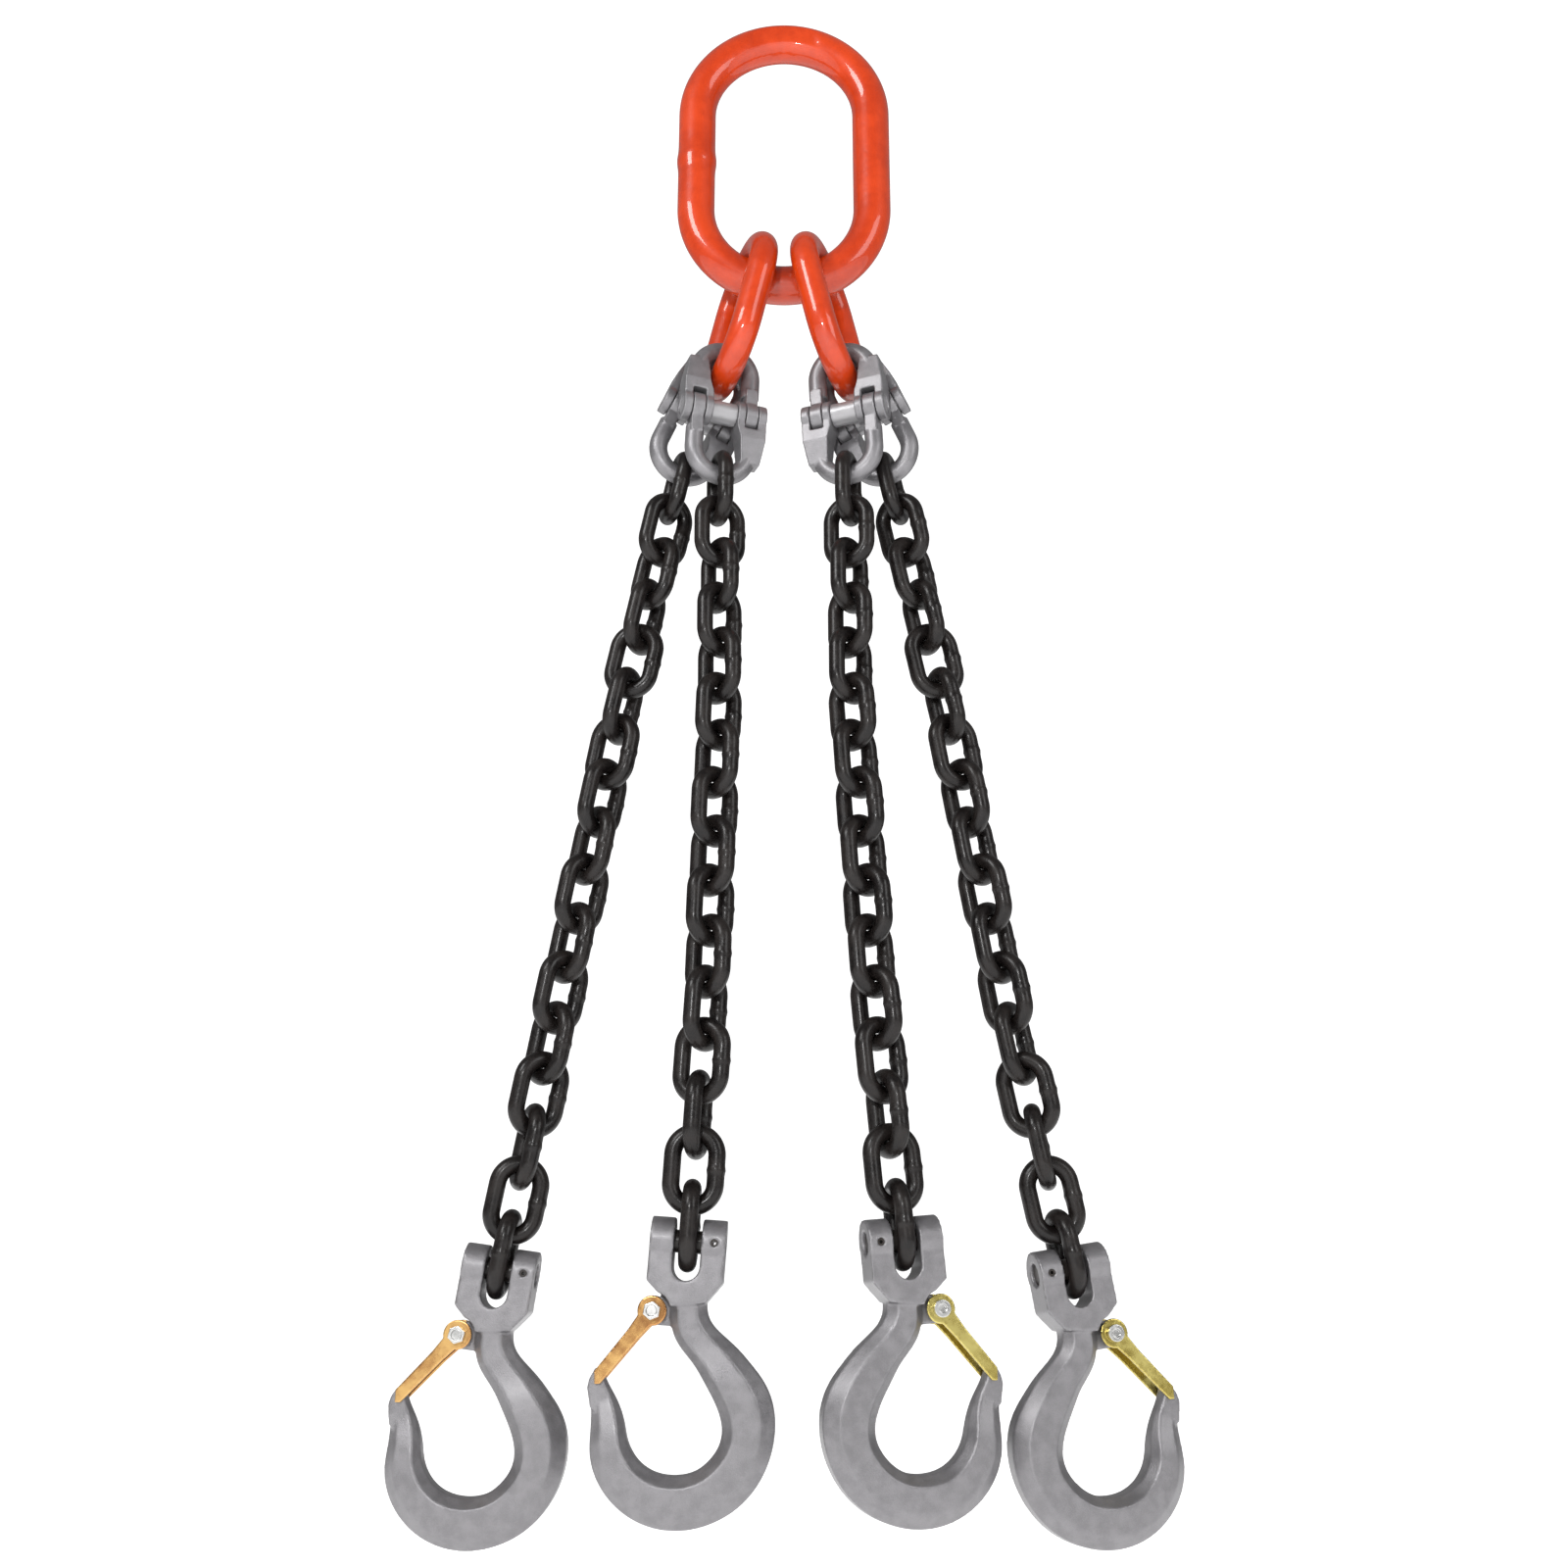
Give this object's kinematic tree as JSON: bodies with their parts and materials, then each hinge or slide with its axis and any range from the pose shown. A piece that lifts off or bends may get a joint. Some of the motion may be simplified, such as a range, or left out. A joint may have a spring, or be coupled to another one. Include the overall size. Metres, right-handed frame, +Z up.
{
  "type": "four leg chain sling",
  "caption": "Chain sling with legs of welded chain, coupling links and sprung clevis hooks, hung from an oval master link.",
  "frame": {"origin": "crane hook's seat, inside the top bow of the master link", "axes": "+Z up along the hanging sling, +X to the right across the legs, the front looks along -Y"},
  "size_m": [0.4442, 0.0878, 0.9945],
  "materials": {
    "orange_paint": "gloss",
    "silver_paint": "satin silver grey",
    "black_lacquer": "semi-gloss",
    "yellow_zinc": "yellow chromate",
    "bright_zinc": "bright zinc"
  },
  "bodies": {
    "master_link": {"master_link": "orange_paint"},
    "sub_link_left": {"sub_link_left": "orange_paint"},
    "sub_link_right": {"sub_link_right": "orange_paint"},
    "leg_1_coupling_upper": {"leg_1_coupling_upper": "silver_paint", "leg_1_coupling_pin": "bright_zinc", "leg_1_coupling_bush": "silver_paint"},
    "leg_1_coupling_lower": {"leg_1_coupling_lower": "silver_paint"},
    "leg_1_chain_upper": {"leg_1_chain_upper": "black_lacquer"},
    "leg_1_chain_middle": {"leg_1_chain_middle": "black_lacquer"},
    "leg_1_chain_lower": {"leg_1_chain_lower": "black_lacquer"},
    "leg_1_hook": {"leg_1_hook": "silver_paint", "leg_1_clevis_pin": "black_lacquer", "leg_1_roll_pin": "bright_zinc", "leg_1_latch_bolt": "bright_zinc", "leg_1_latch_nut": "bright_zinc", "leg_1_latch_spring": "bright_zinc"},
    "leg_1_latch": {"leg_1_latch": "yellow_zinc"},
    "leg_2_coupling_upper": {"leg_2_coupling_upper": "silver_paint", "leg_2_coupling_pin": "bright_zinc", "leg_2_coupling_bush": "silver_paint"},
    "leg_2_coupling_lower": {"leg_2_coupling_lower": "silver_paint"},
    "leg_2_chain_upper": {"leg_2_chain_upper": "black_lacquer"},
    "leg_2_chain_middle": {"leg_2_chain_middle": "black_lacquer"},
    "leg_2_chain_lower": {"leg_2_chain_lower": "black_lacquer"},
    "leg_2_hook": {"leg_2_hook": "silver_paint", "leg_2_clevis_pin": "black_lacquer", "leg_2_roll_pin": "bright_zinc", "leg_2_latch_bolt": "bright_zinc", "leg_2_latch_nut": "bright_zinc", "leg_2_latch_spring": "bright_zinc"},
    "leg_2_latch": {"leg_2_latch": "yellow_zinc"},
    "leg_3_coupling_upper": {"leg_3_coupling_upper": "silver_paint", "leg_3_coupling_pin": "bright_zinc", "leg_3_coupling_bush": "silver_paint"},
    "leg_3_coupling_lower": {"leg_3_coupling_lower": "silver_paint"},
    "leg_3_chain_upper": {"leg_3_chain_upper": "black_lacquer"},
    "leg_3_chain_middle": {"leg_3_chain_middle": "black_lacquer"},
    "leg_3_chain_lower": {"leg_3_chain_lower": "black_lacquer"},
    "leg_3_hook": {"leg_3_hook": "silver_paint", "leg_3_clevis_pin": "black_lacquer", "leg_3_roll_pin": "bright_zinc", "leg_3_latch_bolt": "bright_zinc", "leg_3_latch_nut": "bright_zinc", "leg_3_latch_spring": "bright_zinc"},
    "leg_3_latch": {"leg_3_latch": "yellow_zinc"},
    "leg_4_coupling_upper": {"leg_4_coupling_upper": "silver_paint", "leg_4_coupling_pin": "bright_zinc", "leg_4_coupling_bush": "silver_paint"},
    "leg_4_coupling_lower": {"leg_4_coupling_lower": "silver_paint"},
    "leg_4_chain_upper": {"leg_4_chain_upper": "black_lacquer"},
    "leg_4_chain_middle": {"leg_4_chain_middle": "black_lacquer"},
    "leg_4_chain_lower": {"leg_4_chain_lower": "black_lacquer"},
    "leg_4_hook": {"leg_4_hook": "silver_paint", "leg_4_clevis_pin": "black_lacquer", "leg_4_roll_pin": "bright_zinc", "leg_4_latch_bolt": "bright_zinc", "leg_4_latch_nut": "bright_zinc", "leg_4_latch_spring": "bright_zinc"},
    "leg_4_latch": {"leg_4_latch": "yellow_zinc"}
  },
  "joints": [
    {"name": "sub_link_left_swing", "type": "hinge", "parent": "master_link", "child": "sub_link_left", "pos_m": [-0.02909, 0, -0.17526], "axis": [-0.8758, 0, 0.4828], "range_deg": [-10, 2]},
    {"name": "sub_link_right_swing", "type": "hinge", "parent": "master_link", "child": "sub_link_right", "pos_m": [0.02909, 0, -0.17526], "axis": [-0.8758, 0, -0.4828], "range_deg": [-10, 2]},
    {"name": "leg_1_coupling_swing", "type": "hinge", "parent": "sub_link_left", "child": "leg_1_coupling_upper", "pos_m": [-0.0475, 0.02376, -0.24607], "axis": [-0.1115, 0.7451, 0.6576], "range_deg": [0, 10]},
    {"name": "leg_1_coupling_fold", "type": "hinge", "parent": "leg_1_coupling_upper", "child": "leg_1_coupling_lower", "pos_m": [-0.05524, 0.01111, -0.27768], "axis": [-0.8579, -0.3401, 0.3852], "range_deg": [-45, 0]},
    {"name": "leg_1_chain_swing", "type": "hinge", "parent": "leg_1_coupling_lower", "child": "leg_1_chain_upper", "pos_m": [-0.06881, 0.00768, -0.32072], "axis": [-0.9169, -0.3545, 0.1834], "range_deg": [-40, 25]},
    {"name": "leg_1_chain_bend_middle", "type": "hinge", "parent": "leg_1_chain_upper", "child": "leg_1_chain_middle", "pos_m": [-0.10533, 0.00927, -0.50023], "axis": [0.3408, 0.9382, -0.061], "range_deg": [0, 25]},
    {"name": "leg_1_chain_bend_lower", "type": "hinge", "parent": "leg_1_chain_middle", "child": "leg_1_chain_lower", "pos_m": [-0.13731, 0.01088, -0.68163], "axis": [0.6974, 0.7071, -0.1167], "range_deg": [0, 25]},
    {"name": "leg_1_hook_swing", "type": "hinge", "parent": "leg_1_chain_lower", "child": "leg_1_hook", "pos_m": [-0.16196, 0.01212, -0.82142], "axis": [-0.9903, 0, 0.1392], "range_deg": [-60, 60]},
    {"name": "leg_1_latch_open", "type": "hinge", "parent": "leg_1_hook", "child": "leg_1_latch", "pos_m": [-0.18356, 0.01212, -0.85655], "axis": [0, -1, 0], "range_deg": [0, 50], "stiffness_Nm_per_rad": 0.12, "springref_deg": -22.92},
    {"name": "leg_2_coupling_swing", "type": "hinge", "parent": "sub_link_left", "child": "leg_2_coupling_upper", "pos_m": [-0.03652, -0.01162, -0.25264], "axis": [-0.3837, 0.8498, -0.3613], "range_deg": [0, 4]},
    {"name": "leg_2_coupling_fold", "type": "hinge", "parent": "leg_2_coupling_upper", "child": "leg_2_coupling_lower", "pos_m": [-0.0402, -0.0073, -0.28334], "axis": [-0.9386, -0.3419, 0.0467], "range_deg": [0, 45]},
    {"name": "leg_2_chain_swing", "type": "hinge", "parent": "leg_2_coupling_lower", "child": "leg_2_chain_upper", "pos_m": [-0.04125, -0.00821, -0.32881], "axis": [-0.9394, -0.3427, 0.0008], "range_deg": [-10, 40]},
    {"name": "leg_2_chain_bend_middle", "type": "hinge", "parent": "leg_2_chain_upper", "child": "leg_2_chain_middle", "pos_m": [-0.03992, -0.0122, -0.48125], "axis": [-0.7069, 0.7069, -0.0247], "range_deg": [0, 25]},
    {"name": "leg_2_chain_bend_lower", "type": "hinge", "parent": "leg_2_chain_middle", "child": "leg_2_chain_lower", "pos_m": [-0.04506, -0.01702, -0.66532], "axis": [-0.7073, 0.7069, 0.0012], "range_deg": [0, 25]},
    {"name": "leg_2_hook_swing", "type": "hinge", "parent": "leg_2_chain_lower", "child": "leg_2_hook", "pos_m": [-0.05298, -0.02074, -0.807], "axis": [-0.9976, 0, 0.0698], "range_deg": [-60, 60]},
    {"name": "leg_2_latch_open", "type": "hinge", "parent": "leg_2_hook", "child": "leg_2_latch", "pos_m": [-0.07208, -0.02074, -0.84355], "axis": [0, -1, 0], "range_deg": [0, 50], "stiffness_Nm_per_rad": 0.12, "springref_deg": -22.92},
    {"name": "leg_3_coupling_swing", "type": "hinge", "parent": "sub_link_right", "child": "leg_3_coupling_upper", "pos_m": [0.03652, -0.01162, -0.25264], "axis": [-0.3837, -0.8498, 0.3613], "range_deg": [0, 4]},
    {"name": "leg_3_coupling_fold", "type": "hinge", "parent": "leg_3_coupling_upper", "child": "leg_3_coupling_lower", "pos_m": [0.0402, -0.0073, -0.28334], "axis": [0.9386, -0.3419, 0.0467], "range_deg": [-45, 0]},
    {"name": "leg_3_chain_swing", "type": "hinge", "parent": "leg_3_coupling_lower", "child": "leg_3_chain_upper", "pos_m": [0.04139, -0.00826, -0.32881], "axis": [0.9394, -0.3426, 0.009], "range_deg": [-40, 10]},
    {"name": "leg_3_chain_bend_middle", "type": "hinge", "parent": "leg_3_chain_upper", "child": "leg_3_chain_middle", "pos_m": [0.04139, -0.01225, -0.48126], "axis": [-0.7071, -0.7069, 0.0185], "range_deg": [0, 25]},
    {"name": "leg_3_chain_bend_lower", "type": "hinge", "parent": "leg_3_chain_middle", "child": "leg_3_chain_lower", "pos_m": [0.05263, -0.01707, -0.66505], "axis": [-0.7069, -0.7069, -0.0247], "range_deg": [0, 25]},
    {"name": "leg_3_hook_swing", "type": "hinge", "parent": "leg_3_chain_lower", "child": "leg_3_hook", "pos_m": [0.065, -0.02079, -0.80641], "axis": [0.9744, 0.2079, 0.0853], "range_deg": [-60, 60]},
    {"name": "leg_3_latch_open", "type": "hinge", "parent": "leg_3_hook", "child": "leg_3_latch", "pos_m": [0.08437, -0.01736, -0.84266], "axis": [-0.2071, 0.9781, -0.0181], "range_deg": [0, 50], "stiffness_Nm_per_rad": 0.12, "springref_deg": -22.92},
    {"name": "leg_4_coupling_swing", "type": "hinge", "parent": "sub_link_right", "child": "leg_4_coupling_upper", "pos_m": [0.0475, 0.02376, -0.24607], "axis": [-0.1115, -0.7451, -0.6576], "range_deg": [0, 10]},
    {"name": "leg_4_coupling_fold", "type": "hinge", "parent": "leg_4_coupling_upper", "child": "leg_4_coupling_lower", "pos_m": [0.05524, 0.01111, -0.27768], "axis": [-0.8579, 0.3401, -0.3852], "range_deg": [-45, 0]},
    {"name": "leg_4_chain_swing", "type": "hinge", "parent": "leg_4_coupling_lower", "child": "leg_4_chain_upper", "pos_m": [0.06881, 0.00768, -0.32072], "axis": [-0.9169, 0.3545, -0.1834], "range_deg": [-40, 25]},
    {"name": "leg_4_chain_bend_middle", "type": "hinge", "parent": "leg_4_chain_upper", "child": "leg_4_chain_middle", "pos_m": [0.10533, 0.00927, -0.50023], "axis": [0.3408, -0.9382, 0.061], "range_deg": [0, 25]},
    {"name": "leg_4_chain_bend_lower", "type": "hinge", "parent": "leg_4_chain_middle", "child": "leg_4_chain_lower", "pos_m": [0.13573, 0.01088, -0.6819], "axis": [0.6984, -0.7071, 0.1106], "range_deg": [0, 25]},
    {"name": "leg_4_hook_swing", "type": "hinge", "parent": "leg_4_chain_lower", "child": "leg_4_hook", "pos_m": [0.16281, 0.01212, -0.82124], "axis": [-0.9661, -0.2079, -0.153], "range_deg": [-60, 60]},
    {"name": "leg_4_latch_open", "type": "hinge", "parent": "leg_4_hook", "child": "leg_4_latch", "pos_m": [0.18467, 0.01555, -0.85605], "axis": [-0.2054, 0.9781, -0.0325], "range_deg": [0, 50], "stiffness_Nm_per_rad": 0.12, "springref_deg": -22.92}
  ]
}
